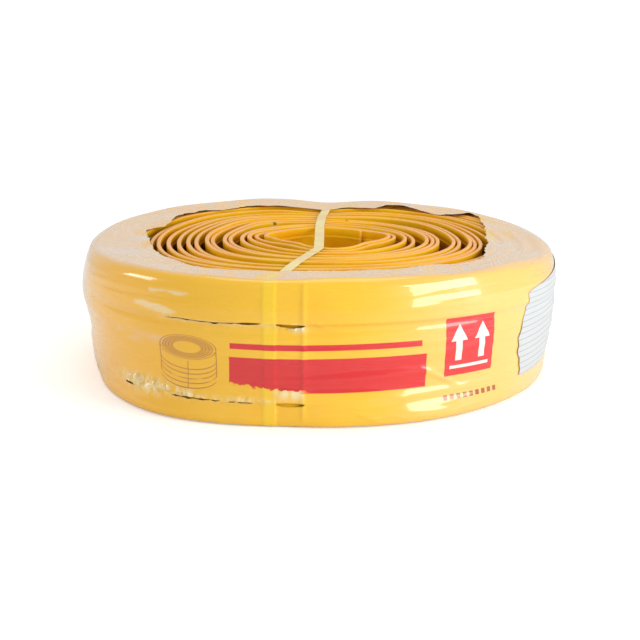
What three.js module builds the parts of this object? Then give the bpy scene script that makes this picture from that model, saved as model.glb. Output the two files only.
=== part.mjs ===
import * as THREE from 'three';

// A roll of PVC waterstop strip, strapped once and wrapped in printed film.
// Millimetres, +Z up. The roll lies flat, and its front is on the -Y side.

// The roll. Its outer turns stand a little proud of the inner ones.
const STRIP_WIDTH = 150;
const ROLL_HEIGHT = 160;
const ROLL_RADIUS = 293;
const BORE_RADIUS = 67;
const BORE_SHIFT = 13;
const TURNS = 19;
const EDGE_SHARE = 0.52;
const GROOVE_DEPTH = 50;
const GROOVE_FLOOR = 0.45;

// Thin pieces and the room between them
const FILM_THICK = 1;
const STRAP_THICK = 0.9;
const STRAP_WIDTH = 13;
const LABEL_THICK = 0.5;
const GAP = 0.3;
const UNDER_FILM = GAP + STRAP_THICK + GAP;
const COIL_RADIUS = ROLL_RADIUS - FILM_THICK - UNDER_FILM;
const COIL_TOP = ROLL_HEIGHT - FILM_THICK - UNDER_FILM;
const COIL_BOTTOM = FILM_THICK + UNDER_FILM;

// The top sinks from the outer turns to the inner ones, and the rim droops at both sides
const SINK = COIL_TOP - COIL_BOTTOM - STRIP_WIDTH;
const SINK_FROM = 275;
const SINK_TO = 215;
const DROOP = 8.5;

// How far the film's wall stands out at each height: on the left, on the right, and elsewhere
const BELLY = [
  [148, 3.5, 4.5, 1.5], [136, 6.5, 7.5, 3.4], [122, 9, 8.5, 3.6], [112, 10, 8.5, 2.6], [106, 10.5, 8, 0],
  [94, 10.5, 7, 0], [78, 6.5, 6, 0], [62, 1.5, 5, 0], [46, 0, 3.5, 0], [23, 0, 1, 0], [10, 2, 0, 0],
];

// The steps round the roll, turned so that the strap lies in the middle of a flat
const STEPS = 36;
const FIRST_STEP = 5.5;
const FRONT_FLAT = [-104.5, -94.5];
const BACK_FLAT = [95.5, 85.5];

// The torn opening of the film on top, as degrees round the roll and distance from its centre
const TORN_EDGE = [
  [-176, 206], [-159, 217], [-141, 227], [-129, 244], [-113, 241], [-97, 222], [-66, 227],
  [-54, 233], [-35, 231], [-23, 216], [0, 212], [29, 256], [41, 264], [65, 264], [70, 225],
  [81, 234], [97, 227], [111, 237], [128, 255], [142, 235], [163, 203], [184, 206],
];
const BOTTOM_OPENING = 230;

// Where the strap runs, as distance from the front to the back and distance to the right
const STRAP_OVER = [[-284, -47], [-267, -41], [-150, -5], [284, 13]];
const STRAP_UNDER = [[-284, -47], [284, 13]];

// The paper label on the right of the front
const LABEL_ANGLES = [-38.5, -34.5, -24.5, -14.5, -4.5, 1.5];
const LABEL_BOTTOM = 27;
const LABEL_TOP = 130;

function between(table, at) {
  const next = Math.max(1, table.findIndex(([position]) => position >= at));
  const end = at > table.at(-1)[0] ? table.length - 1 : next;
  const [from, low] = table[end - 1];
  const [to, high] = table[end];
  return low + (high - low) * THREE.MathUtils.clamp((at - from) / (to - from), 0, 1);
}

// How the pressed roll departs from a circle, as a share of its radius
function outOfRound(angle) {
  const two = 0.0107 * Math.sin(2 * angle);
  const three = 0.0104 * Math.cos(3 * angle) + 0.0122 * Math.sin(3 * angle);
  const four = 0.0149 * Math.cos(4 * angle) + 0.0058 * Math.sin(4 * angle);
  return two + three - four;
}

// How much the top is lower at a distance from the axis
function sunk(radius) {
  return SINK * THREE.MathUtils.clamp((SINK_FROM - radius) / (SINK_FROM - SINK_TO), 0, 1);
}

// Where a point of an ideal round roll really lies. The bore stays round and sits off centre.
function place(angle, radius, z) {
  const share = THREE.MathUtils.clamp((radius - BORE_RADIUS) / (267 - BORE_RADIUS), 0, 1);
  const r = radius * (1 + share * outOfRound(angle));
  const rim = Math.max(0, (radius - 160) / 133) * Math.max(0, (z - 95) / 65);
  return [
    r * Math.cos(angle) + BORE_SHIFT * (1 - share),
    r * Math.sin(angle),
    z - DROOP * Math.cos(angle) ** 4 * rim,
  ];
}

// How far the film stands out from the wound strip's wall at a point
function belly(angle, z) {
  const left = Math.max(0, -Math.cos(angle)) ** 2;
  const right = Math.max(0, Math.cos(angle)) ** 2;
  const rising = [...BELLY].reverse();
  const [atLeft, atRight, elsewhere] = [1, 2, 3].map((column) => {
    const profile = [[4, 0], ...rising.map((row) => [row[0], row[column]]), [153, 0]];
    return between(profile, z);
  });
  return left * atLeft + right * atRight + (1 - left - right) * elsewhere;
}

// The outside wall of the wound strip in section, from its top flat round to its bottom flat,
// moved out by a distance
function wall(out) {
  const points = [
    [COIL_RADIUS - 3.5, COIL_TOP],
    [COIL_RADIUS - 1, COIL_TOP - 1],
    [COIL_RADIUS, COIL_TOP - 4],
    ...BELLY.map(([height]) => [COIL_RADIUS, height]),
    [COIL_RADIUS - 1, COIL_BOTTOM + 3],
    [COIL_RADIUS - 4, COIL_BOTTOM],
  ].map(([r, z]) => new THREE.Vector2(r, z));
  const inward = new THREE.Vector2(-1, 0);
  return points.map((point, i) => {
    const before = i === 0 ? inward : points[i - 1].clone().sub(point).normalize();
    const after = i === points.length - 1 ? inward : points[i + 1].clone().sub(point).normalize();
    const first = new THREE.Vector2(before.y, -before.x);
    const second = new THREE.Vector2(-after.y, after.x);
    const normal = first.clone().add(second).normalize();
    return point.clone().addScaledVector(normal, out / normal.dot(second));
  });
}

// Turns a section round the axis, then moves each point to where the roll really is
function turned(section, openingAt) {
  const shape = new THREE.LatheGeometry(section, STEPS, THREE.MathUtils.degToRad(FIRST_STEP));
  shape.rotateX(Math.PI / 2);
  const spot = shape.attributes.position;
  for (let i = 0; i < spot.count; i += 1) {
    const angle = Math.atan2(spot.getY(i), spot.getX(i));
    const radius = Math.hypot(spot.getX(i), spot.getY(i));
    const z = spot.getZ(i);
    const [r, height] = openingAt ? openingAt(angle, radius, z) : [radius, z];
    const point = place(angle, r, height).map((value) => Math.round(value * 1000) / 1000);
    spot.setXYZ(i, ...point);
  }
  shape.computeVertexNormals();
  return shape;
}

// The wound strip: each turn ends in a flat edge, with a groove between it and the next
function coilShape() {
  const pitch = (COIL_RADIUS - BORE_RADIUS) / (TURNS - 1 + EDGE_SHARE);
  const edge = pitch * EDGE_SHARE;
  const ends = [];
  for (let turn = TURNS - 1; turn >= 0; turn -= 1) {
    const inside = BORE_RADIUS + turn * pitch;
    if (turn < TURNS - 1) {
      ends.push([inside + edge, 0]);
    }
    ends.push([inside, 0]);
    if (turn > 0) {
      const middle = inside - (pitch - edge) / 2;
      const floor = ((pitch - edge) / 2) * GROOVE_FLOOR;
      ends.push([middle + floor, GROOVE_DEPTH], [middle - floor, GROOVE_DEPTH]);
    }
  }
  const top = ends.map(([r, depth]) => new THREE.Vector2(r, COIL_TOP - sunk(r) - depth));
  const bottom = ends.map(([r, depth]) => new THREE.Vector2(r, COIL_BOTTOM + depth)).reverse();
  return turned([...top, ...bottom, ...wall(0).reverse(), top[0]]);
}

// The film: a thin sleeve round the wall, folded over the top and the bottom as a ring
function filmShape() {
  const rim = 220;
  const outside = wall(UNDER_FILM + FILM_THICK);
  const inside = wall(UNDER_FILM);
  const section = [
    new THREE.Vector2(rim, ROLL_HEIGHT),
    new THREE.Vector2(rim, ROLL_HEIGHT - FILM_THICK),
    new THREE.Vector2(SINK_FROM, ROLL_HEIGHT - FILM_THICK),
    ...inside,
    new THREE.Vector2(BOTTOM_OPENING, FILM_THICK),
    new THREE.Vector2(BOTTOM_OPENING, 0),
    ...outside.reverse(),
    new THREE.Vector2(SINK_FROM, ROLL_HEIGHT),
    new THREE.Vector2(rim, ROLL_HEIGHT),
  ];
  const openingAt = (angle, radius, z) => {
    if (radius > COIL_RADIUS) {
      return [radius + belly(angle, z), z];
    }
    if (z < ROLL_HEIGHT / 2 || radius > rim + 1) {
      return [radius, z];
    }
    const degrees = THREE.MathUtils.radToDeg(angle);
    const opening = between(TORN_EDGE, degrees < TORN_EDGE[0][0] ? degrees + 360 : degrees);
    return [opening, z - sunk(opening)];
  };
  return turned(section, openingAt);
}

// The strap: a flat band carried round a closed route. Its section has four corners, and where
// it lies on the wall it is flat against one of the wall's flats.
function strapShape() {
  const route = (out) => {
    const side = wall(out);
    const over = COIL_TOP + out;
    const under = COIL_BOTTOM - out;
    return [
      ...side.map((point) => [-point.x, point.y]),
      [-SINK_TO, under],
      [SINK_TO, under],
      ...side.reverse().map((point) => [point.x, point.y]),
      [SINK_FROM, over],
      [SINK_TO, over - SINK],
      [-150, over - SINK],
      [-SINK_TO, over - SINK],
      [-SINK_FROM, over],
    ];
  };
  const inner = route(GAP);
  const outer = route(GAP + STRAP_THICK);
  const stops = inner.length;
  const shape = new THREE.TorusGeometry(1, 0.1, 4, stops);
  const spot = shape.attributes.position;
  for (let i = 0; i < spot.count; i += 1) {
    const corner = Math.floor(i / (stops + 1)) % 4;
    const stop = (i % (stops + 1)) % stops;
    const [along, z] = corner === 0 || corner === 3 ? outer[stop] : inner[stop];
    const middle = between(z > ROLL_HEIGHT / 2 ? STRAP_OVER : STRAP_UNDER, along);
    const x = middle + (corner < 2 ? STRAP_WIDTH / 2 : -STRAP_WIDTH / 2);
    let y = along;
    if (Math.abs(along) >= SINK_TO) {
      const flat = along < 0 ? FRONT_FLAT : BACK_FLAT;
      const [left, right] = flat.map((at) => place(THREE.MathUtils.degToRad(at), Math.abs(along), z));
      y = left[1] + ((right[1] - left[1]) * (x - left[0])) / (right[0] - left[0]);
    }
    spot.setXYZ(i, x, y, z);
  }
  shape.computeVertexNormals();
  return shape;
}

// The label: a thin sheet that follows the flats of the film
function labelShape() {
  const rows = [LABEL_BOTTOM, ...BELLY.map(([height]) => height).reverse(), LABEL_TOP];
  const heights = rows.filter((height) => height >= LABEL_BOTTOM && height <= LABEL_TOP);
  const sheets = LABEL_ANGLES.length - 1;
  const bands = heights.length - 1;
  const shape = new THREE.BoxGeometry(sheets, bands, 1, sheets, bands, 1);
  const spot = shape.attributes.position;
  for (let i = 0; i < spot.count; i += 1) {
    const column = Math.round(spot.getX(i) + sheets / 2);
    const row = Math.round(spot.getY(i) + bands / 2);
    const angle = THREE.MathUtils.degToRad(LABEL_ANGLES[column]);
    const outer = spot.getZ(i) > 0;
    const radius = ROLL_RADIUS + GAP + (outer ? LABEL_THICK : 0);
    spot.setXYZ(i, ...onFlat(angle, radius, heights[row]));
  }
  shape.computeVertexNormals();
  return shape;
}

// A point on the straight flat between two steps round the film
function onFlat(angle, radius, z) {
  const step = (2 * Math.PI) / STEPS;
  const first = THREE.MathUtils.degToRad(FIRST_STEP);
  const before = first + Math.floor((angle - first) / step + 1e-6) * step;
  const [x0, y0, z0] = place(before, radius + belly(before, z), z);
  const [x1, y1, z1] = place(before + step, radius + belly(before + step, z), z);
  const cross = (y1 - y0) * Math.cos(angle) - (x1 - x0) * Math.sin(angle);
  const distance = (x0 * (y1 - y0) - y0 * (x1 - x0)) / cross;
  const point = [distance * Math.cos(angle), distance * Math.sin(angle)];
  const along = ((point[0] - x0) * (x1 - x0) + (point[1] - y0) * (y1 - y0)) / ((x1 - x0) ** 2 + (y1 - y0) ** 2);
  return [...point, z0 + along * (z1 - z0)];
}

function piece(name, shape, color, roughness) {
  const mesh = new THREE.Mesh(shape, new THREE.MeshStandardMaterial({ color, roughness, metalness: 0 }));
  mesh.name = name;
  mesh.material.name = name;
  return mesh;
}

const roll = new THREE.Group();
roll.name = 'pvc_waterstop';
roll.add(
  piece('waterstop_coil', coilShape(), 0xf2a93b, 0.45),
  piece('film_sleeve', filmShape(), 0xf7c04a, 0.25),
  piece('strap', strapShape(), 0xf3df9a, 0.4),
  piece('paper_label', labelShape(), 0xf1efe9, 0.7),
);

// The origin is the middle of the roll's footprint
const bounds = new THREE.Box3().setFromObject(roll);
const middle = bounds.getCenter(new THREE.Vector3());
for (const mesh of roll.children) {
  mesh.geometry.translate(-middle.x, -middle.y, -bounds.min.z);
}

export default roll;
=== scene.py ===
import math

import bmesh
import bpy
import numpy as np
from mathutils import Matrix, Vector


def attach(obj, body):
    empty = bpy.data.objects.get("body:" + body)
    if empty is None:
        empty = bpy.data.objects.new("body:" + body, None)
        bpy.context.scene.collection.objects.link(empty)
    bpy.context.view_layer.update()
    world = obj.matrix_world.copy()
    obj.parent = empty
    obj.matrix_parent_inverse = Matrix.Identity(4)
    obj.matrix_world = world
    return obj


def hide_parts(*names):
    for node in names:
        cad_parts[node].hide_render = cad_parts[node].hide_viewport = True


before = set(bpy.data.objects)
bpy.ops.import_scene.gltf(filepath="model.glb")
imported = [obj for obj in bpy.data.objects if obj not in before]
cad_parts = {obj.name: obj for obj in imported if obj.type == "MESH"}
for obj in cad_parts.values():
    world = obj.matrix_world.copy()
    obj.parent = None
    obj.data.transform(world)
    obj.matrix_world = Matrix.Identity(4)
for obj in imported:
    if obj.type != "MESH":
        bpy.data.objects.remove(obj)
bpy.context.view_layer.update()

# Camera, floor and light
# A product shot from a little above the front: a long lens, a plain pale floor and white
# surroundings, one broad soft light to the right and weaker ones to the left and overhead.
EYE = Vector((0.00163, -1.46244, 0.41565))
LOOK_DOWN = 0.24755
TILT = 0.01219
LENS = 65.8

camera = bpy.data.objects.new("camera", bpy.data.cameras.new("camera"))
camera.data.sensor_width = 36.0
camera.data.lens = LENS
camera.data.clip_end = 50.0
level = Matrix.Rotation(math.pi / 2 - LOOK_DOWN, 4, "X")
camera.matrix_world = Matrix.Translation(EYE) @ level @ Matrix.Rotation(TILT, 4, "Z")
bpy.context.scene.collection.objects.link(camera)
bpy.context.scene.camera = camera
bpy.context.scene.view_settings.view_transform = "Standard"


def softbox(name, place, target, size, power):
    """A white rectangle of light that looks at a spot."""
    light = bpy.data.lights.new(name, "AREA")
    light.shape = "RECTANGLE"
    light.size, light.size_y = size
    light.energy = power
    lamp = bpy.data.objects.new(name, light)
    aim = (Vector(target) - Vector(place)).to_track_quat("-Z", "Y")
    lamp.matrix_world = Matrix.Translation(place) @ aim.to_matrix().to_4x4()
    bpy.context.scene.collection.objects.link(lamp)


softbox("light_right", (1.27, -0.83, 0.54), (0.05, -0.05, 0.10), (0.88, 0.86), 13.9)
softbox("light_left", (-1.50, -0.16, 0.56), (-0.05, -0.05, 0.09), (0.55, 0.34), 3.2)
softbox("light_above", (0.0, 0.3, 1.7), (0, 0, 0.15), (1.2, 1.2), 4.5)

surroundings = bpy.data.worlds.new("surroundings")
surroundings.use_nodes = True
surroundings.node_tree.nodes["Background"].inputs["Color"].default_value = (1, 1, 1, 1)
surroundings.node_tree.nodes["Background"].inputs["Strength"].default_value = 0.67
bpy.context.scene.world = surroundings


def wire(tree, kind, inputs=(), **settings):
    """Adds a node, sets its fields, and fills or links its inputs."""
    node = tree.nodes.new(kind)
    for key, value in settings.items():
        setattr(node, key, value)
    for key, value in dict(inputs).items():
        if isinstance(value, bpy.types.NodeSocket):
            tree.links.new(value, node.inputs[key])
        else:
            node.inputs[key].default_value = value
    return node


def calc(tree, operation, first, second=0.0, third=0.0):
    """One step of arithmetic in a material."""
    values = {0: first, 1: second, 2: third}
    return wire(tree, "ShaderNodeMath", values, operation=operation).outputs[0]


def new_material(name):
    """An empty material, with its node tree."""
    material = bpy.data.materials.new(name)
    material.use_nodes = True
    material.node_tree.nodes.clear()
    return material, material.node_tree


def finish_material(tree, colour, roughness, normal, **constants):
    """Ends a material in its Principled shader. Constants are set on the shader's own sockets."""
    shader = wire(tree, "ShaderNodeBsdfPrincipled", {"Base Color": colour, "Roughness": roughness})
    if normal is not None:
        tree.links.new(normal, shader.inputs["Normal"])
    for key, value in constants.items():
        shader.inputs[key.replace("_", " ")].default_value = value
    wire(tree, "ShaderNodeOutputMaterial", {"Surface": shader.outputs[0]})


SWEEP = [(-4.0, 0.0), (1.4, 0.0), (1.75, 0.03), (2.1, 0.16), (2.4, 0.42), (2.55, 0.8), (2.6, 3.0)]
floor_mesh = bpy.data.meshes.new("floor")
floor_mesh.from_pydata(
    [(x, y, z) for y, z in SWEEP for x in (-5.0, 5.0)],
    [],
    [(2 * i, 2 * i + 1, 2 * i + 3, 2 * i + 2) for i in range(len(SWEEP) - 1)],
)
floor_mesh.polygons.foreach_set("use_smooth", [True] * len(floor_mesh.polygons))
floor = bpy.data.objects.new("floor", floor_mesh)
floor.location.z = -0.0004
bpy.context.scene.collection.objects.link(floor)
floor_material, tree = new_material("pale_floor")
finish_material(tree, (0.92, 0.92, 0.92, 1), 0.7, None, Emission_Color=(1, 1, 1, 1))
seen = wire(tree, "ShaderNodeLightPath").outputs["Is Camera Ray"]
glow = calc(tree, "MULTIPLY", seen, 0.32)
tree.links.new(glow, tree.nodes["Principled BSDF"].inputs["Emission Strength"])
floor_mesh.materials.append(floor_material)


# The wound strip
# One strip of flexible PVC, 150 mm wide, extruded with thick edges and a small rib beside each,
# and wound by hand from its inner end. The turns touch in places at the front and the back and
# stand apart at both sides, and the outer ones are a little proud of the inner ones.
MIDDLE = (-0.00204, 0.00423)
BORE_RADIUS = 0.067
BORE_SHIFT = 0.013
SHAPE_RADIUS = 0.267
FILM_RADIUS = 0.293
ROLL_HEIGHT = 0.160
RIM_WIDE, RIM_TALL = 0.133, 0.065
STRIP_WIDTH = 0.150
STRIP_BOTTOM = 0.0025
LOWEST = 0.0015
SINK = 0.005
SINK_FROM, SINK_TO = 0.275, 0.215
DROOP = 0.0085
EDGE_THICK = 0.0050
INNER_END = math.radians(52.0)
TURNS = 19
OUTER_END = math.radians(-92.3) + 2 * math.pi * TURNS
FIRST_CENTRE = BORE_RADIUS + 0.0026
LAST_CENTRE = FILM_RADIUS - 0.0045
STATIONS_PER_TURN = 120


def bell(value, middle, width):
    """1 in the middle, falling smoothly to nothing at about twice the width."""
    return np.exp(-(((value - middle) / width) ** 2))


def aside(angle, middle, width):
    """A bell over an angle in degrees, the same on every turn."""
    return bell((np.degrees(angle) - middle + 180) % 360 - 180, 0, width)


def out_of_round(angle):
    """Share by which the roll is wider or narrower at an angle."""
    two = 0.0107 * np.sin(2 * angle)
    three = 0.0104 * np.cos(3 * angle) + 0.0122 * np.sin(3 * angle)
    four = 0.0149 * np.cos(4 * angle) + 0.0058 * np.sin(4 * angle)
    return two + three - four


def sunk(radius):
    """How much the top is lower at a distance from the axis."""
    return SINK * np.clip((SINK_FROM - radius) / (SINK_FROM - SINK_TO), 0, 1)


def strap_dent(angle):
    """How far the strap has pulled down the back edge, which stands up again at both sides."""
    pulled = 0.0050 * aside(angle, 88, 8)
    return pulled - 0.0042 * aside(angle, 107, 10) - 0.0015 * aside(angle, 70, 9)


def place(angle, radius, height):
    """Where a point of an ideal round roll really lies, as the pressed roll has it."""
    share = np.clip((radius - BORE_RADIUS) / (SHAPE_RADIUS - BORE_RADIUS), 0, 1)
    r = radius * (1 + share * out_of_round(angle))
    rim = np.maximum(0, 1 - (FILM_RADIUS - radius) / RIM_WIDE)
    rim = rim * np.maximum(0, 1 - (ROLL_HEIGHT - height) / RIM_TALL)
    x = r * np.cos(angle) + BORE_SHIFT * (1 - share)
    y = r * np.sin(angle)
    z = height - (DROOP * np.cos(angle) ** 4 + strap_dent(angle)) * rim
    return np.stack([x + MIDDLE[0], y + MIDDLE[1], z], axis=-1)


def grid_mesh(name, points, closed_down=False, closed_across=False, keep=None, uv=None):
    """A sheet of quads from a grid of points, with an optional mask of kept quads."""
    rows, columns = points.shape[:2]
    row = np.arange(rows if closed_down else rows - 1)
    column = np.arange(columns if closed_across else columns - 1)
    r, c = np.meshgrid(row, column, indexing="ij")
    r2, c2 = (r + 1) % rows, (c + 1) % columns
    quads = np.stack([r * columns + c, r * columns + c2, r2 * columns + c2, r2 * columns + c], -1)
    if keep is not None:
        quads = quads[keep]
    quads = quads.reshape(-1, 4)
    mesh = bpy.data.meshes.new(name)
    mesh.from_pydata(points.reshape(-1, 3).tolist(), [], quads.tolist())
    if uv is not None:
        layer = mesh.uv_layers.new(name="sheet")
        corners = uv.reshape(-1, 2)[quads.reshape(-1)]
        layer.data.foreach_set("uv", corners.astype(np.float32).reshape(-1))
    mesh.polygons.foreach_set("use_smooth", np.ones(len(mesh.polygons), dtype=bool))
    obj = bpy.data.objects.new(name, mesh)
    bpy.context.scene.collection.objects.link(obj)
    return obj


# Where the turns are at the left and the right, in millimetres from the axis
LEFT_TIPS = (69, 85, 98, 107, 122, 129, 142, 148, 161, 172, 184, 195, 207, 216, 231)
RIGHT_TIPS = (72, 79, 99, 111, 128, 137, 145, 166, 173, 187, 194, 203, 219, 232)


def step(value, low, high):
    """0 up to low, 1 from high on, and smooth between them."""
    t = np.clip((value - low) / (high - low), 0, 1)
    return t * t * (3 - 2 * t)


def wound(turned):
    """Distance of the strip's middle from the axis, at an angle counted on from the inner end."""
    share = (turned - INNER_END) / (OUTER_END - INNER_END)
    even = FIRST_CENTRE + (LAST_CENTRE - FIRST_CENTRE) * share
    knots = [(math.pi * (2 * k + 1), tip / 1000) for k, tip in enumerate(LEFT_TIPS)]
    knots += [(math.pi * (2 * k + 2), tip / 1000) for k, tip in enumerate(RIGHT_TIPS)]
    knots = np.array(sorted(knots))
    at_knot = np.interp(knots[:, 0], turned, even)
    shift = np.interp(turned, knots[:, 0], knots[:, 1] - at_knot, left=0)
    fade = 1 - step(even, 0.222, 0.262)
    pairs = 0.0029 * np.sin(turned / 2 + 0.6) * np.sin(turned) ** 2
    slow = 0.0009 * np.sin(turned * 0.81 + 1.0) + 0.0007 * np.sin(turned * 1.37 + 2.2)
    quiet = np.clip(share / 0.06, 0, 1) * np.clip((1 - share) / 0.10, 0, 1)
    outer = 1 - step(even, 0.190, 0.280)
    open_back = 0.020 * aside(turned, 55, 28) * step(even, 0.154, 0.164) * outer
    open_left = 0.020 * aside(turned, 122, 22) * step(even, 0.112, 0.122) * outer
    low_left = 0.009 * aside(turned, 230, 25) * step(even, 0.125, 0.150) * outer
    middle = even + shift * fade + (pairs + slow) * quiet + open_back + open_left + low_left
    for i in range(STATIONS_PER_TURN, len(middle)):
        middle[i] = max(middle[i], middle[i - STATIONS_PER_TURN] + EDGE_THICK + 0.0003)
    return np.minimum(middle, LAST_CENTRE - (1 - share) * 0.085)


def pressed(angle, radius):
    """Share by which the innermost turns are pressed out of round by the strap."""
    inner = 1 - step(radius, 0.074, 0.112)
    out = 0.15 * aside(angle, 22, 20) + 0.12 * aside(angle, 163, 18) + 0.10 * aside(angle, 105, 30)
    drawn_in = 0.24 * aside(angle, 222, 28) + 0.20 * aside(angle, 325, 26)
    return inner * (out - drawn_in + 0.05 * aside(angle, 278, 18))


half = EDGE_THICK / 2
one_face = [
    (half - 0.0007, 0.0), (half - 0.0001, 0.0005), (half, 0.0014), (half, 0.0082),
    (half - 0.0011, 0.0100), (half - 0.0011, 0.0116), (half - 0.0002, 0.0125),
    (half - 0.0011, 0.0134), (half - 0.0011, 0.0700),
]
one_side = one_face + [(out, STRIP_WIDTH - down) for out, down in reversed(one_face)]
section = np.array(one_side + [(-out, down) for out, down in reversed(one_side)])
turned = np.append(np.arange(INNER_END, OUTER_END, 2 * math.pi / STATIONS_PER_TURN), OUTER_END)
centre = wound(turned)
centre = centre * (1 + pressed(turned, centre))
uneven = 0.0009 * np.sin(turned * 0.43) + 0.0006 * np.sin(turned * 1.21 + 0.7)
lean = 0.0008 * np.sin(turned * 0.67 + 2.0)
out = section[:, 0][:, None] + centre[None, :]
down = section[:, 1][:, None]
share_up = (STRIP_WIDTH - down) / STRIP_WIDTH
out = out + (share_up - 0.5) * lean[None, :]
raised = (SINK - sunk(centre))[None, :]
height = STRIP_BOTTOM + STRIP_WIDTH - down + raised + uneven[None, :] * share_up
height = np.where(down > 0.1, np.maximum(height, LOWEST), height)
strip_points = place(np.broadcast_to(turned[None, :], out.shape), out, height)
run = np.concatenate([[0], np.cumsum(np.diff(turned) * centre[1:])])
strip_uv = np.stack(np.broadcast_arrays(run[None, :], down), -1)
strip = grid_mesh("waterstop_strip", strip_points, closed_down=True, uv=strip_uv)
ends = [list(range(0, len(section) * len(turned), len(turned)))]
ends.append([i + len(turned) - 1 for i in ends[0]][::-1])


def close_ends(obj, loops):
    """Closes the open ends of a swept section with flat faces, and turns all faces outward."""
    work = bmesh.new()
    work.from_mesh(obj.data)
    work.verts.ensure_lookup_table()
    for loop in loops:
        work.faces.new([work.verts[i] for i in loop])
    bmesh.ops.recalc_face_normals(work, faces=work.faces)
    work.to_mesh(obj.data)
    work.free()


close_ends(strip, ends)


def point_values(obj, **layers):
    """Stores values for the points of a mesh, which its material reads by their name."""
    for name, values in layers.items():
        layer = obj.data.attributes.new(name, "FLOAT", "POINT")
        layer.data.foreach_set("value", values.astype(np.float32).reshape(-1))


at_side = np.cos(turned) ** 2
# Painted shade: where the turns stand apart at the sides, their faces are darkened to maroon deep between
# the turns.
hemmed_in = at_side * step(centre, 0.080, 0.095)
point_values(
    strip, at_side=np.tile(at_side, len(section)), hemmed_in=np.tile(hemmed_in, len(section))
)


def ramp(tree, value, low, high, start=0.0, end=1.0):
    """A smooth step of a value from low to high."""
    values = {"Value": value, "From Min": low, "From Max": high, "To Min": start, "To Max": end}
    return wire(tree, "ShaderNodeMapRange", values, interpolation_type="SMOOTHSTEP").outputs[0]


def blended(tree, share, low, high):
    """Mixes two colours by a share."""
    node = wire(tree, "ShaderNodeMix", {0: share, 6: low, 7: high}, data_type="RGBA")
    return node.outputs[2]


def streaks_group():
    """Fine lines along a drawn or rolled sheet, and small dark specks of site dust."""
    group = bpy.data.node_groups.new("drawn_streaks", "ShaderNodeTree")
    for name, kind, default in (
        ("Along", "NodeSocketFloat", 8.0),
        ("Across", "NodeSocketFloat", 600.0),
        ("Speck Size", "NodeSocketFloat", 260.0),
    ):
        socket = group.interface.new_socket(name=name, in_out="INPUT", socket_type=kind)
        socket.default_value = default
    for name in ("Streaks", "Clouds", "Specks"):
        group.interface.new_socket(name=name, in_out="OUTPUT", socket_type="NodeSocketFloat")
    start = group.nodes.new("NodeGroupInput")
    end = group.nodes.new("NodeGroupOutput")
    sheet = group.nodes.new("ShaderNodeUVMap")
    sheet.uv_map = "sheet"
    stretch = wire(group, "ShaderNodeCombineXYZ", {0: start.outputs["Along"], 1: start.outputs["Across"]})
    drawn = wire(
        group, "ShaderNodeVectorMath", {0: sheet.outputs[0], 1: stretch.outputs[0]}, operation="MULTIPLY"
    )
    lines = wire(group, "ShaderNodeTexNoise", {"Vector": drawn.outputs[0], "Scale": 1.0, "Detail": 3.0})
    clouds = wire(group, "ShaderNodeTexNoise", {"Vector": sheet.outputs[0], "Scale": 14.0, "Detail": 4.0})
    dots = wire(
        group, "ShaderNodeTexVoronoi", {"Vector": sheet.outputs[0], "Scale": start.outputs["Speck Size"]}
    )
    near = ramp(group, dots.outputs["Distance"], 0.16, 0.06)
    pick = wire(group, "ShaderNodeSeparateColor", {0: dots.outputs["Color"]}).outputs[0]
    rare = ramp(group, pick, 0.985, 0.99)
    group.links.new(lines.outputs[0], end.inputs["Streaks"])
    group.links.new(clouds.outputs[0], end.inputs["Clouds"])
    group.links.new(calc(group, "MULTIPLY", near, rare), end.inputs["Specks"])
    return group


streaks = streaks_group()


def placed_group(tree, group, **values):
    """Places a node group in a material, with its own values."""
    node = tree.nodes.new("ShaderNodeGroup")
    node.node_tree = group
    for key, value in values.items():
        node.inputs[key.replace("_", " ")].default_value = value
    return node


PVC_FACE = (0.99, 0.60, 0.008, 1)
PVC_DEEP = (0.98, 0.46, 0.006, 1)
PVC_EDGE_SHEEN = (0.93, 0.46, 0.13, 1)
PVC_GAP_SHADE = (0.34, 0.07, 0.02, 1)
SITE_DUST = (0.10, 0.04, 0.02, 1)
strip_material, tree = new_material("yellow_pvc")
marks = placed_group(tree, streaks, Along=6.0, Across=900.0, Speck_Size=45.0)
sheet = wire(tree, "ShaderNodeUVMap", uv_map="sheet")
across = wire(tree, "ShaderNodeSeparateXYZ", {0: sheet.outputs[0]}).outputs[1]
from_edge = calc(tree, "MINIMUM", across, calc(tree, "SUBTRACT", STRIP_WIDTH, across))
edge_band = ramp(tree, from_edge, 0.0011, 0.0004)
face = blended(tree, ramp(tree, marks.outputs["Clouds"], 0.35, 0.7), PVC_FACE, PVC_DEEP)
side = wire(tree, "ShaderNodeAttribute", attribute_name="at_side").outputs["Fac"]
hemmed = wire(tree, "ShaderNodeAttribute", attribute_name="hemmed_in").outputs["Fac"]
# Painted shade: the faces go maroon the further they lie below the top edge, between the turns at the
# sides.
painted_gap_shade = calc(tree, "MULTIPLY", ramp(tree, across, 0.003, 0.026, 0.0, 0.85), hemmed)
face = blended(tree, painted_gap_shade, face, PVC_GAP_SHADE)
# Painted sheen: the thick edges are painted pale peach, as the light from above makes them look, and more
# so at the sides.
edge_sheen = calc(tree, "MULTIPLY", edge_band, ramp(tree, side, 0.1, 0.8, 0.45, 1.0))
colour = blended(tree, edge_sheen, face, PVC_EDGE_SHEEN)
colour = blended(tree, calc(tree, "MULTIPLY", marks.outputs["Specks"], 0.85), colour, SITE_DUST)
rough = ramp(tree, marks.outputs["Streaks"], 0.3, 0.7, 0.30, 0.46)
bump = wire(
    tree, "ShaderNodeBump", {"Strength": 0.35, "Distance": 0.0003, "Height": marks.outputs["Streaks"]}
)
finish_material(tree, colour, rough, bump.outputs[0], Specular_IOR_Level=0.2)
strip.data.materials.append(strip_material)
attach(strip, "root")
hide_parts("waterstop_coil")


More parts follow.
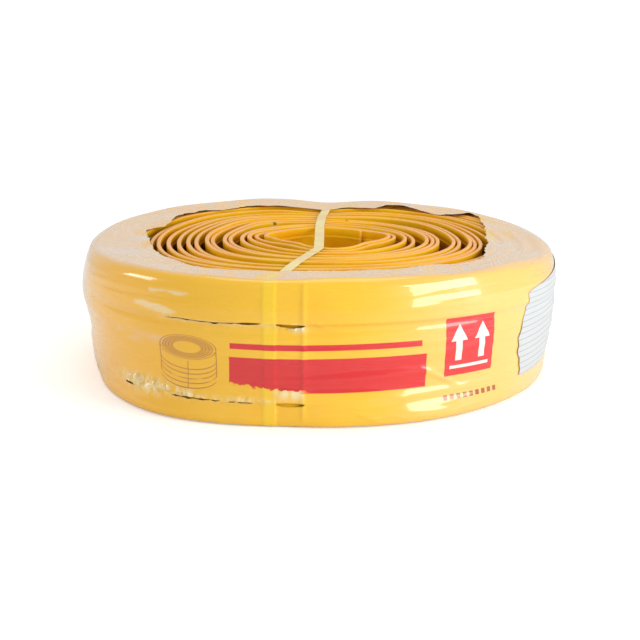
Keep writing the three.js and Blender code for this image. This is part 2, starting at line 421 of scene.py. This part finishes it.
# The printed film
# Thin milky stretch film, pulled tight round the wall of the roll and folded over both ends,
# where it was torn open on top. It looks yellow where it lies on the strip and beige where it
# stands away, and it is split along the strip's two thick edges at the front left. Its colour
# also carries painted light: a paler painted sheen on the right front, darker painted shade on
# the left, and pale painted highlights and a painted reflection on the left wall.
UPPER_STEP, LOWER_STEP = 0.1138, 0.0268
# Angle in degrees and distance from the axis in millimetres
TORN_EDGE = np.array([
    (-171, 219), (-160, 219), (-148, 224), (-139, 230), (-131, 234), (-120, 247), (-113, 246),
    (-106, 244), (-99, 238), (-93, 226), (-87, 226), (-79, 225), (-70, 228), (-60, 229), (-49, 233),
    (-41, 234), (-35, 231), (-18, 210), (5, 212), (19, 229), (30, 251), (36, 270), (40, 271),
    (42, 256), (46, 240), (52, 241), (58, 242), (62, 249), (67, 248), (70, 226), (76, 231), (82, 240),
    (86, 232), (91, 228), (100, 226), (109, 226), (116, 243), (126, 234), (131, 245), (140, 243),
    (148, 232), (156, 219), (162, 219), (165, 229), (171, 232), (177, 226), (184, 221),
])
STRAP_FRONT = -99.5
GAP_SEEN = 0.00025
# Height in metres, and how far the wall stands out at the left and the right in millimetres
BELLY = np.array([
    (0.158, 0, 0), (0.153, 1.5, 2), (0.148, 3.5, 4.5), (0.136, 6.5, 7.5), (0.122, 8.8, 8.5),
    (0.112, 10, 8.5), (0.106, 10.5, 8), (0.094, 10.5, 7), (0.078, 6.5, 6), (0.062, 1.8, 5),
    (0.046, 0.5, 3.5), (0.023, 0, 1), (0.010, 1, 0), (0.004, 0, -1),
])[::-1]


def waves(count, along, across, seed):
    """A smooth random surface over angle and height, made of seeded sine waves."""
    draw = np.random.default_rng(seed)
    a = draw.integers(along[0], along[1] + 1, count)
    b = draw.uniform(across[0], across[1], count) * draw.choice([-1, 1], count)
    phase = draw.uniform(0, 2 * np.pi, count)
    size = draw.uniform(0.5, 1.0, count) / np.sqrt(count)

    def at(angle, height):
        total = 0
        for k in range(count):
            total = total + size[k] * np.sin(a[k] * angle + b[k] * height + phase[k])
        return total

    return at


streak_folds = waves(16, (1, 7), (130, 560), 3)
soft_folds = waves(12, (2, 9), (10, 70), 4)


def belly(angle, height):
    """How far the film's wall stands out from a round wall, in metres."""
    left = np.maximum(0, -np.cos(angle)) ** 2
    right = np.maximum(0, np.cos(angle)) ** 2
    at_left = np.interp(height, BELLY[:, 0], BELLY[:, 1]) / 1000
    at_right = np.interp(height, BELLY[:, 0], BELLY[:, 2]) / 1000
    swell = np.sin(np.pi * np.clip((height - 0.100) / 0.058, 0, 1))
    upper = step(height, UPPER_STEP - 0.0025, UPPER_STEP + 0.0012)
    elsewhere = upper * (0.0010 + 0.0034 * swell) * step(0.158 - height, 0, 0.012)
    tuck = -0.0012 * bell(height, UPPER_STEP - 0.006, 0.005) * step(UPPER_STEP - height, 0, 0.002)
    whole = left * at_left + right * at_right + (1 - left - right) * elsewhere
    low = 1 - step(height, 0.006, 0.045)
    toe = 1 - step(height, 0.001, 0.042)
    foot = 0.0065 * aside(angle, -124, 15) * toe + 0.007 * aside(angle, -68, 20)
    foot = foot - 0.005 * aside(angle, -160, 11) - 0.003 * aside(angle, -97, 7)
    ridges = 0.0006 * bell(height, 0.1520, 0.0022) + 0.0009 * bell(height, 0.1285, 0.0016)
    ridges = ridges * (0.6 + 0.4 * np.sin(3 * angle + 0.4))
    folds = 0.0004 * streak_folds(angle, height) + 0.0011 * soft_folds(angle, height)
    folds = folds * step(height, 0.0, 0.02) * step(0.158 - height, 0.0, 0.006)
    return whole + tuck * (1 - left) + foot * low + ridges + folds


fine = np.radians(np.arange(-144, -86, 0.28))
left_part, right_part = np.radians(np.arange(-270, -144, 0.5)), np.radians(np.arange(-86, 90.25, 0.5))
film_angles = np.concatenate([left_part, fine, right_part])
torn = np.interp(np.degrees(film_angles) % 360, TORN_EDGE[:, 0] % 360, TORN_EDGE[:, 1], period=360)
torn = torn / 1000
torn = torn + waves(9, (20, 90), (0, 1), 11)(film_angles, 0) * 0.0011
frayed = waves(9, (90, 220), (0, 1), 12)(film_angles, 0) * 0.0007

ring_rows = np.linspace(0, 1, 22)
corner = [(0.2868, 0.1594), (0.2893, 0.1586), (0.2913, 0.1570), (0.2925, 0.1548)]
upper_rows = np.linspace(0.1525, UPPER_STEP + 0.0025, 20)
tear_rows = [UPPER_STEP + 0.0003, UPPER_STEP - 0.0002]
middle_rows = np.linspace(UPPER_STEP - 0.003, LOWER_STEP + 0.003, 36)
low_rows = [LOWER_STEP + 0.0003, LOWER_STEP - 0.0002]
lower_rows = np.linspace(LOWER_STEP - 0.0025, 0.0075, 9)
foot_rows = [(0.2927, 0.0045), (0.2915, 0.0018), (0.2885, 0.0004), (0.2840, 0.0)]
under = [(r, 0.0) for r in (0.275, 0.262, 0.248, 0.238, 0.230)]
wall_heights = np.concatenate([upper_rows, tear_rows, middle_rows, low_rows, lower_rows])
UPPER_GAP = len(ring_rows) + len(corner) + len(upper_rows)
LOWER_GAP = UPPER_GAP + len(tear_rows) + len(middle_rows)

radius = []
height = []
for t in ring_rows:
    r = torn + (0.2840 - torn) * t + frayed * (1 - t) ** 9
    edge_z = ROLL_HEIGHT - sunk(torn)
    radius.append(r)
    height.append(edge_z + (ROLL_HEIGHT - edge_z) * t)
for r, z in corner + [(FILM_RADIUS, z) for z in wall_heights] + foot_rows + under:
    radius.append(np.full_like(film_angles, r))
    height.append(np.full_like(film_angles, z))
radius = np.array(radius)
height = np.array(height)
on_top = np.arange(len(radius))[:, None] < len(ring_rows)
sheet_height = np.where(on_top, ROLL_HEIGHT + FILM_RADIUS - radius, height)
angle = np.broadcast_to(film_angles[None, :], radius.shape)
degrees = (np.degrees(angle) + 180) % 360 - 180
on_wall = step(radius, 0.285, 0.2925)
on_ring = (1 - step(radius, 0.284, 0.290)) * (height > 0.1)


def lens(middle, half_width):
    """The opening of a slit between two angles in degrees, pointed at both ends."""
    return np.sqrt(np.maximum(0, 1 - ((degrees - middle) / half_width) ** 2))


ragged = waves(14, (60, 230), (0, 1), 5)(angle, 0)
UPPER_SLITS = [(-111.5, 10.5, 0.0011, 0.8, 0.6), (-103.3, 1.9, 0.0016, 1, 0), (-95.3, 3.0, 0.0032, 1, 0)]
LOWER_SLITS = [
    (-133.2, 1.7, 0.0016, 1, 0), (-115.5, 5.5, 0.0013, 0.8, 0.6),
    (-105.5, 4.6, 0.0007, 0.7, 1.0), (-95.3, 3.0, 0.0034, 1, 0),
]


def gape(slits):
    """How far a row of slits stands open. Each has its middle, half width, opening and edge."""
    room = 0
    for middle, half_width, opening, even_share, ragged_share in slits:
        room = room + opening * lens(middle, half_width) * (even_share + ragged_share * ragged)
    return np.maximum(room, 0)


upper_room, lower_room = gape(UPPER_SLITS), gape(LOWER_SLITS)
level = 0.0035 * step(degrees, -117, -125) + 0.0009 * np.sin(degrees / 3.1)
height = height - level * bell(height, UPPER_STEP, 0.010) * (degrees > -150) * (degrees < -86)
rows = np.arange(radius.shape[0])[:, None]
for gap, room in ((UPPER_GAP, upper_room), (LOWER_GAP, lower_room)):
    below = np.exp(-np.maximum(0, rows - gap - 1) / 1.5) * (rows > gap)
    height = height - below * room
    above = np.exp(-np.maximum(0, gap - rows) / 1.2) * (rows <= gap)
    height = height + above * room * 0.2

out = belly(angle, height)
bend = waves(8, (20, 60), (60, 200), 15)(angle, height)
crumple = waves(22, (30, 190), (150, 900), 16)(angle + 0.03 * bend, height + 0.006 * bend)
crumple = np.abs(crumple) * 1.6 - 0.5
beside_upper = bell(height, UPPER_STEP - 0.0025, 0.004) * (lens(-111, 13) + lens(-94.5, 4))
LOOSE_PLACES = [
    (1.0, -129, 6.5, 0.0315, 0.0075), (0.8, -119, 5, 0.0300, 0.0045), (0.5, -105, 6, 0.0290, 0.0035)
]
loose = 0
for share, middle, half_width, level, half_height in LOOSE_PLACES:
    loose = loose + share * bell(degrees, middle, half_width) * bell(height, level, half_height)
flap = lens(-95.4, 3.3) * bell(height, 0.0385, 0.0065) + lens(-93.6, 2.2) * bell(height, 0.1085, 0.0030)
out = out + beside_upper * (0.0005 + 0.0008 * crumple) + loose * (0.0022 + 0.0036 * crumple)
out = out + flap * (0.0012 + 0.0012 * crumple)
out = out + 0.0012 * bell(degrees, -92.6, 0.5) * step(height, 0.0, 0.02)
out = out + 0.0009 * step(degrees, STRAP_FRONT - 1.5, STRAP_FRONT - 1.2) * (
    1 - step(degrees, STRAP_FRONT + 1.2, STRAP_FRONT + 1.5))


def crease(left, low, right, high, tall):
    """A short sharp fold across the wall, from one point to another in degrees and metres."""
    run_x, run_z = right - left, (high - low) * 1000
    share = ((degrees - left) * run_x + (height - low) * 1000 * run_z) / (run_x ** 2 + run_z ** 2)
    across = ((degrees - left) * run_z - (height - low) * 1000 * run_x) / math.hypot(run_x, run_z)
    return tall * bell(across, 0, 0.9) * step(share, -0.1, 0.25) * (1 - step(share, 0.75, 1.1))


CREASES = [
    (-67.5, 0.062, -57.0, 0.034, 0.0012), (-66.0, 0.054, -58.5, 0.041, 0.0008),
    (-83.5, 0.022, -76.5, 0.006, 0.0013), (-75.5, 0.014, -71.5, 0.009, 0.0009),
    (-92.0, 0.119, -87.0, 0.108, 0.0010), (-92.5, 0.095, -91.5, 0.030, 0.0005),
    (-81.0, 0.040, -70.0, 0.028, 0.0006), (-52.0, 0.050, -41.0, 0.060, 0.0007),
]
for crease_ends in CREASES:
    out = out + crease(*crease_ends)
radius = radius + on_wall * out

arcs = 0.00025 * np.sin(2 * np.pi * radius / 0.0116 + 0.8 * np.sin(3 * angle))
right_arcs = 0.0009 * np.sin(2 * np.pi * radius / 0.021 + 2 * np.sin(2 * angle))
arcs = arcs + right_arcs * bell(degrees, -5, 34) * step(0.285 - radius, 0, 0.01)
ring_folds = waves(12, (3, 16), (15, 70), 6)(angle, radius) * 0.0010
lift = 0.0012 * np.exp(-(radius - torn) / 0.010) * (0.6 + waves(8, (5, 22), (0, 1), 8)(angle, 0))
back_lift = 0.0012 * bell(degrees, 58, 16) * np.exp(-(radius - torn) / 0.02)
height = height + on_ring * (arcs + ring_folds + lift + back_lift + 0.0004)

film_points = place(angle, radius, height)
film_points[..., 2] = np.maximum(film_points[..., 2], 0.0)
around = (angle + math.pi / 2) * FILM_RADIUS
film_uv = np.stack([around, sheet_height], -1)

keep = np.ones((radius.shape[0] - 1, radius.shape[1]), dtype=bool)
keep[UPPER_GAP] = upper_room[UPPER_GAP] < GAP_SEEN
keep[LOWER_GAP] = lower_room[LOWER_GAP] < GAP_SEEN
film = grid_mesh("printed_film", film_points, keep=keep[:, :-1], uv=film_uv)

patches = waves(10, (3, 14), (30, 160), 31)(angle, radius)
at_edge = np.exp(-np.abs(radius - torn) / 0.010)
spots = 1.8 * bell(degrees, -150, 26) * at_edge + 1.5 * bell(degrees, 172, 16) * at_edge
spots = spots + 1.0 * bell(degrees, 10, 26) * np.exp(-np.abs(radius - torn) / 0.03)
spots = spots + 1.1 * bell(degrees, 85, 50) * at_edge + 0.8 * bell(degrees, 150, 25) * at_edge
spots = spots + 1.2 * bell(degrees, -101, 2.2)
ring_touch = on_ring * np.clip(spots * (0.75 + patches), 0, 1)
fold_line = 0.1575 - 0.0010 * np.cos(2 * angle + 0.9) + 0.0008 * waves(8, (4, 20), (0, 1), 33)(angle, 0)
fold_line = fold_line + 0.012 * bell(degrees, -80, 26) + 0.0050 * bell(degrees, -140, 34)
over_corner = height + 0.7 * np.maximum(0, 0.2925 - radius)
flat_height = np.where(on_top, ROLL_HEIGHT + FILM_RADIUS - radius, over_corner)
wall_touch_less_painted_light = step(fold_line - flat_height, -0.0009, 0.0009)
left = np.maximum(0, -np.cos(angle) - 0.25) / 0.75
# Painted highlights: two pale streaks on the left front wall, painted beige and pale in place of the
# yellow.
highlight_level = 0.1215 - 0.00035 * (degrees + 124)
painted_highlights = bell(degrees, -124.5, 7.0) * bell(height, highlight_level, 0.0042)
painted_highlights = painted_highlights + bell(degrees, -121.0, 5.5) * bell(height, 0.1408, 0.0022)
unevenly = waves(14, (12, 60), (120, 700), 35)(angle, height)
painted_highlights = step(painted_highlights * (1.0 + 0.3 * patches + 0.6 * unevenly), 0.30, 0.75)
# Painted reflection: a paler band round the middle of the left wall, painted beige in place of the yellow.
painted_reflection = left * bell(height, 0.086, 0.016) * (0.75 + 0.5 * patches + 0.3 * unevenly)
wall_touch_less_painted_light = wall_touch_less_painted_light * (1 - np.clip(np.maximum(painted_highlights, painted_reflection), 0, 1))
stress = beside_upper * step(bell(height, UPPER_STEP - 0.001, 0.0030), 0.3, 0.9) * 0.6
stress = stress + 1.5 * loose * step(crumple, -0.45, 0.10) + 1.1 * flap
stress = np.clip(np.maximum(stress * (0.9 + 0.4 * ragged), 0.55 * painted_highlights), 0, 1)
# The touching share is film on the strip less painted highlights and a painted reflection; the stressed
# share is stretched film and painted highlights.
point_values(film, touching=np.clip(ring_touch + wall_touch_less_painted_light, 0, 1), stressed=stress)


def join_seam(obj):
    """Joins the sheet's first and last columns, which lie on each other at the back."""
    work = bmesh.new()
    work.from_mesh(obj.data)
    bmesh.ops.remove_doubles(work, verts=work.verts, dist=0.00001)
    work.to_mesh(obj.data)
    work.free()


join_seam(film)

FILM_YELLOW = (0.97, 0.56, 0.012, 1)
FILM_AMBER = (0.93, 0.46, 0.006, 1)
FILM_SHEEN = (0.86, 0.54, 0.15, 1)
FILM_BEIGE = (0.91, 0.53, 0.175, 1)
FILM_PALE = (0.97, 0.79, 0.40, 1)
STRAP_SHADE = (0.98, 0.64, 0.008, 1)
PRINT_RED = (0.72, 0.008, 0.008, 1)
PRINT_BROWN = (0.38, 0.09, 0.02, 1)
PRINT_WHITE = (0.90, 0.84, 0.72, 1)
film_material, tree = new_material("milky_film")
marks = placed_group(tree, streaks, Along=7.0, Across=95.0, Speck_Size=60.0)
sheet = wire(tree, "ShaderNodeUVMap", uv_map="sheet")
split = wire(tree, "ShaderNodeSeparateXYZ", {0: sheet.outputs[0]})
along, up = split.outputs[0], split.outputs[1]
touch = ramp(tree, wire(tree, "ShaderNodeAttribute", attribute_name="touching").outputs["Fac"], 0.3, 0.7)
stressed = wire(tree, "ShaderNodeAttribute", attribute_name="stressed").outputs["Fac"]


def inside(low, high, value, soft=0.0004):
    """1 between two limits, with an inked edge."""
    rising = ramp(tree, value, low - soft, low + soft)
    falling = ramp(tree, value, high + soft, high - soft)
    return calc(tree, "MULTIPLY", rising, falling)


def arc(degrees_round):
    """Distance along the wall from the middle of the front."""
    return math.radians(degrees_round + 90) * FILM_RADIUS


def panel(left, right, bottom, top):
    """A printed rectangle, between two angles in degrees and two heights."""
    return calc(tree, "MULTIPLY", inside(arc(left), arc(right), along), inside(bottom, top, up))


tone = ramp(tree, marks.outputs["Clouds"], 0.38, 0.66)
# The amber share is partly random tone and partly painted shade, darker on the left side away from the main
# light.
left_painted_shade = calc(tree, "MULTIPLY", ramp(tree, along, -0.03, -0.26), ramp(tree, along, -0.80, -0.50))
tone_and_left_shade = calc(tree, "MAXIMUM", calc(tree, "MULTIPLY", tone, 0.35), calc(tree, "MULTIPLY", left_painted_shade, 0.80))
yellow = blended(tree, tone_and_left_shade, FILM_YELLOW, FILM_AMBER)
# Painted sheen: the right front of the wall is painted paler, on the side of the main light.
painted_sheen_right = calc(tree, "MULTIPLY", ramp(tree, along, 0.02, 0.19, 0.0, 0.85), ramp(tree, along, 0.55, 0.30))
yellow = blended(tree, painted_sheen_right, yellow, FILM_SHEEN)
over_strap = calc(tree, "MULTIPLY", inside(arc(-101.0), arc(-98.1), along, 0.0012), 0.75)
yellow = blended(tree, over_strap, yellow, STRAP_SHADE)
# Beige stands for film off the strip, and also for painted highlights and a painted reflection on the left
# wall.
ground = blended(tree, touch, FILM_BEIGE, yellow)
ground = blended(tree, stressed, ground, FILM_PALE)

# Prints: a plain bar and a stripe in red, a handling mark, a row of dashes, and a drawn coil.
# Each rectangle has its two sides in degrees and its two edges in metres above the floor.
BAR = (-107.8, -65.8, 0.0390, 0.0763)
STRIPE = (-107.6, -67.0, 0.0850, 0.0915)
SQUARE = (-61.3, -48.0, 0.0470, 0.1125)
ARROW_TIP, ARROW_NECK, ARROW_FOOT = 0.1045, 0.0865, 0.0640
ARROW_SHAFT = 0.0042
GROUND_LINE = (-60.0, -49.3, 0.0550, 0.0585)
DASH_ROW = (-62.0, -45.6, 0.0205, 0.0262)
worn = ramp(tree, marks.outputs["Streaks"], 0.30, 0.42)
rough_edge = wire(tree, "ShaderNodeTexNoise", {"Vector": sheet.outputs[0], "Scale": 160.0, "Detail": 4.0})
lost_up_to = calc(tree, "MULTIPLY_ADD", rough_edge.outputs[0], 0.014, 0.0400)
falling = ramp(tree, along, arc(-107), arc(-97), 0.0, 0.0055)
lost_up_to = calc(tree, "SUBTRACT", lost_up_to, falling)
above_loss = ramp(tree, calc(tree, "SUBTRACT", up, lost_up_to), -0.0006, 0.0006)
low_left = ramp(tree, along, arc(-91), arc(-94))
kept = calc(tree, "MAXIMUM", above_loss, calc(tree, "SUBTRACT", 1.0, low_left))
bar = calc(tree, "MULTIPLY", panel(*BAR), kept)
stripe = panel(*STRIPE)
square = panel(*SQUARE)
red = calc(tree, "MAXIMUM", calc(tree, "MAXIMUM", bar, stripe), square)
colour = blended(tree, red, ground, PRINT_RED)


def arrow(middle):
    """An upright arrow: a triangular head over a narrow shaft."""
    away = calc(tree, "ABSOLUTE", calc(tree, "SUBTRACT", along, middle))
    slope = calc(tree, "MULTIPLY", calc(tree, "SUBTRACT", ARROW_TIP, up), 0.60)
    head = ramp(tree, calc(tree, "SUBTRACT", slope, away), -0.0004, 0.0004)
    head = calc(tree, "MULTIPLY", head, inside(ARROW_NECK - 0.0005, ARROW_TIP + 0.0015, up))
    shaft = ramp(tree, away, ARROW_SHAFT + 0.0004, ARROW_SHAFT - 0.0004)
    shaft = calc(tree, "MULTIPLY", shaft, inside(ARROW_FOOT, ARROW_NECK + 0.0005, up))
    return calc(tree, "MAXIMUM", head, shaft)


arrows = calc(tree, "MAXIMUM", arrow(arc(-57.8)), arrow(arc(-51.5)))
white = calc(tree, "MAXIMUM", arrows, panel(*GROUND_LINE))
colour = blended(tree, white, colour, PRINT_WHITE)
dash = calc(tree, "PINGPONG", along, 0.0045)
dashes = calc(tree, "MULTIPLY", ramp(tree, dash, 0.0014, 0.0020), panel(*DASH_ROW))

DRAWN_MIDDLE = -117.0
DRAWN_HALF, DRAWN_LIP = 0.0335, 0.0135
DRAWN_TOP, DRAWN_BOTTOM = 0.0820, 0.0520
ring_x = calc(tree, "DIVIDE", calc(tree, "SUBTRACT", along, arc(DRAWN_MIDDLE)), DRAWN_HALF)
ring_y = calc(tree, "DIVIDE", calc(tree, "SUBTRACT", up, DRAWN_TOP), DRAWN_LIP)
square_x = calc(tree, "MULTIPLY", ring_x, ring_x)
span = calc(tree, "SQRT", calc(tree, "ADD", square_x, calc(tree, "MULTIPLY", ring_y, ring_y)))
wave = calc(tree, "PINGPONG", span, 0.055)
turns = calc(tree, "MULTIPLY", ramp(tree, wave, 0.030, 0.012), inside(0.47, 1.02, span, 0.01))
tint = calc(tree, "MULTIPLY", inside(0.47, 0.90, span, 0.01), 0.45)
below = inside(DRAWN_BOTTOM, DRAWN_TOP, up)
sides = calc(tree, "MULTIPLY", inside(0.975, 1.01, calc(tree, "ABSOLUTE", ring_x), 0.005), below)
bow = calc(tree, "SQRT", calc(tree, "MAXIMUM", calc(tree, "SUBTRACT", 1.0, square_x), 0.0))
lifted = calc(tree, "MULTIPLY_ADD", bow, DRAWN_LIP, up)
hoops = calc(tree, "PINGPONG", calc(tree, "SUBTRACT", lifted, 0.0500), 0.0026)
hoops = calc(tree, "MULTIPLY", ramp(tree, hoops, 0.0008, 0.0003), inside(0.0492, 0.0730, lifted))
hoops = calc(tree, "MULTIPLY", hoops, inside(-1.0, 1.0, ring_x, 0.01))
seam = panel(DRAWN_MIDDLE, DRAWN_MIDDLE + 0.2, 0.0365, 0.0665)
drawing = calc(tree, "MAXIMUM", calc(tree, "MAXIMUM", turns, sides), calc(tree, "MAXIMUM", hoops, seam))
drawing = calc(tree, "MAXIMUM", drawing, tint)
brown = calc(tree, "MAXIMUM", calc(tree, "MULTIPLY", drawing, 0.75), dashes)
colour = blended(tree, calc(tree, "MULTIPLY", brown, worn), colour, PRINT_BROWN)

on_wall = ramp(tree, up, 0.162, 0.154)
fine_folds = calc(tree, "MULTIPLY_ADD", calc(tree, "SUBTRACT", marks.outputs["Streaks"], 0.5), on_wall, 0.5)
rough = ramp(tree, fine_folds, 0.3, 0.7, 0.16, 0.32)
wrinkles = wire(tree, "ShaderNodeBump", {"Strength": 0.08, "Distance": 0.0010, "Height": fine_folds})
finish_material(
    tree, colour, rough, wrinkles.outputs[0], Specular_IOR_Level=0.35, Coat_Weight=1.0, Coat_Roughness=0.06,
    Coat_IOR=1.55
)
film.data.materials.append(film_material)
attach(film, "root")
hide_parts("film_sleeve")


# The packing strap
# A flat polypropylene band, 12 mm wide and under a millimetre thick, pulled round the section
# of the roll before it was wrapped. It is knocked aside at the front of the top, where it kinks,
# and goes under the film at both ends.
STRAP_WIDTH = 0.012
STRAP_THICK = 0.0007
DOWN_FRONT, UP_BACK = -99.4, 87.4
UNDER_HEIGHT = 0.0017
strap_top = [
    (0.0155, 0.2790, 0.1534), (0.0135, 0.2650, 0.1534), (0.0100, 0.2460, 0.1532),
    (0.0025, 0.1700, 0.1533), (-0.0002, 0.0950, 0.1531), (-0.0005, -0.0120, 0.1531),
    (-0.0010, -0.0690, 0.1532), (-0.0150, -0.1190, 0.1532), (-0.0260, -0.1570, 0.1532),
    (-0.0355, -0.2020, 0.1535), (-0.0400, -0.2350, 0.1557), (-0.0465, -0.2810, 0.1577),
]
path = [Vector(spot) for spot in strap_top]


def wall_spot(angle_degrees, radius, height):
    """A place beside the wall, at an angle in degrees."""
    return Vector(place(np.radians(angle_degrees), np.float64(radius), np.float64(height)))


down_wall = [
    (0.2893, 0.1565), (0.2908, 0.1545), (0.2912, 0.150), (0.2912, 0.120), (0.2912, 0.090),
    (0.2912, 0.060), (0.2912, 0.030), (0.2908, 0.008), (0.2895, 0.0035), (0.2865, 0.0018),
]
underneath = [(-0.040, -0.23), (-0.028, -0.11), (-0.016, 0.0), (-0.004, 0.12), (0.008, 0.23)]
path += [wall_spot(DOWN_FRONT, r, z) for r, z in down_wall]
path += [Vector((MIDDLE[0] + x, MIDDLE[1] + y, UNDER_HEIGHT)) for x, y in underneath]
path += [wall_spot(UP_BACK, r, z) for r, z in reversed(down_wall)]


def band(route, width, thick):
    """A flat closed band along a route, mitred where the route turns sideways."""
    count = len(route)
    rows = []
    for i, spot in enumerate(route):
        before = (spot - route[i - 1]).normalized()
        after = (route[(i + 1) % count] - spot).normalized()
        ahead = (before + after).normalized()
        outward = Vector((spot.x, spot.y, 0))
        flat = abs(ahead.z) < 0.5
        face = Vector((0, 0, 1 if spot.z > 0.08 else -1)) if flat else outward.normalized()
        side = ahead.cross(face).normalized()
        face = side.cross(ahead).normalized()
        stretch = 1 / max(0.5, abs(before.cross(face).normalized().dot(side)))
        across = side * (width / 2 * stretch)
        rim = side * (width / 2 * stretch - 0.0003)
        lift = face * (thick / 2)
        inner = lift * 0.4
        rows.append([
            spot - rim + lift, spot + rim + lift, spot + across + inner, spot + across - inner,
            spot + rim - lift, spot - rim - lift, spot - across - inner, spot - across + inner,
        ])
    return rows


strap_rows = np.array(band(path, STRAP_WIDTH, STRAP_THICK))
gone = np.concatenate([[0], np.cumsum([(path[i + 1] - path[i]).length for i in range(len(path) - 1)])])
wide = np.array([0.0005, 0.0125, 0.013, 0.0135, 0.014, 0.0265, 0.027, 0.0275])
strap_uv = np.stack(np.broadcast_arrays(gone[:, None], wide[None, :]), -1)
strap = grid_mesh("packing_strap", strap_rows, closed_down=True, closed_across=True, uv=strap_uv)
strap.data.polygons.foreach_set("use_smooth", [False] * len(strap.data.polygons))
close_ends(strap, [])
STRAP_CREAM = (0.95, 0.80, 0.34, 1)
STRAP_STRAW = (0.86, 0.66, 0.28, 1)
strap_material, tree = new_material("pale_strap")
marks = placed_group(tree, streaks, Along=30.0, Across=1500.0, Speck_Size=90.0)
colour = blended(tree, ramp(tree, marks.outputs["Clouds"], 0.35, 0.65), STRAP_CREAM, STRAP_STRAW)
rough = ramp(tree, marks.outputs["Streaks"], 0.3, 0.7, 0.28, 0.42)
sheet = wire(tree, "ShaderNodeUVMap", uv_map="sheet")
weave = wire(tree, "ShaderNodeTexChecker", {"Vector": sheet.outputs[0], "Scale": 900.0})
bump = wire(tree, "ShaderNodeBump", {"Strength": 0.25, "Distance": 0.0002, "Height": weave.outputs["Fac"]})
finish_material(tree, colour, rough, bump.outputs[0], Specular_IOR_Level=0.5)
strap.data.materials.append(strap_material)
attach(strap, "root")
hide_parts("strap")


# The paper label
# A sheet of white paper stuck to the film at the right. Its left edge is torn, and it follows
# the wall with shallow waves where the film under it gave way.
LABEL_LEFT, LABEL_RIGHT = -36.6, 1.5
LABEL_TOP_LEFT, LABEL_TOP_RISE = 0.1255, 0.020
LABEL_FOOT = 0.027
LABEL_PROUD = 0.0009
label_angles = np.radians(np.linspace(LABEL_LEFT, LABEL_RIGHT, 110))
label_rows = np.linspace(0, 1, 70)
angle, share_down = np.meshgrid(label_angles, label_rows)
share = (angle - angle[0, 0]) / (angle[0, -1] - angle[0, 0])
top = LABEL_TOP_LEFT + LABEL_TOP_RISE * np.sqrt(share)
height = top + (LABEL_FOOT - top) * share_down
tear = waves(9, (2, 12), (60, 500), 41)(np.zeros_like(height), height)
left_edge = np.radians(0.45 * tear - 2.4 * bell(height, 0.066, 0.034) + 0.4)
angle = angle + left_edge * (1 - share)
radius = FILM_RADIUS + belly(angle, height) + LABEL_PROUD
radius = radius + 0.0005 * waves(10, (4, 16), (20, 80), 42)(angle, height)
label_points = place(angle, radius, height)
label_uv = np.stack([(angle + np.pi / 2) * FILM_RADIUS, height], -1)
label = grid_mesh("paper_label_sheet", label_points, uv=label_uv)
PAPER_WHITE = (0.56, 0.58, 0.58, 1)
RULE_GREY = (0.16, 0.19, 0.24, 1)
label_material, tree = new_material("white_paper")
marks = placed_group(tree, streaks, Along=200.0, Across=200.0, Speck_Size=80.0)
sheet = wire(tree, "ShaderNodeUVMap", uv_map="sheet")
split = wire(tree, "ShaderNodeSeparateXYZ", {0: sheet.outputs[0]})
along, up = split.outputs[0], split.outputs[1]
rules = calc(tree, "PINGPONG", up, 0.0035)
ruled = ramp(tree, rules, 0.0005, 0.0002)
ink = calc(tree, "MULTIPLY", ruled, 0.65)
colour = blended(tree, ink, PAPER_WHITE, RULE_GREY)
bump = wire(
    tree, "ShaderNodeBump", {"Strength": 0.2, "Distance": 0.0002, "Height": marks.outputs["Streaks"]}
)
finish_material(tree, colour, 0.6, bump.outputs[0], Specular_IOR_Level=0.35)
label.data.materials.append(label_material)
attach(label, "root")
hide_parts("paper_label")
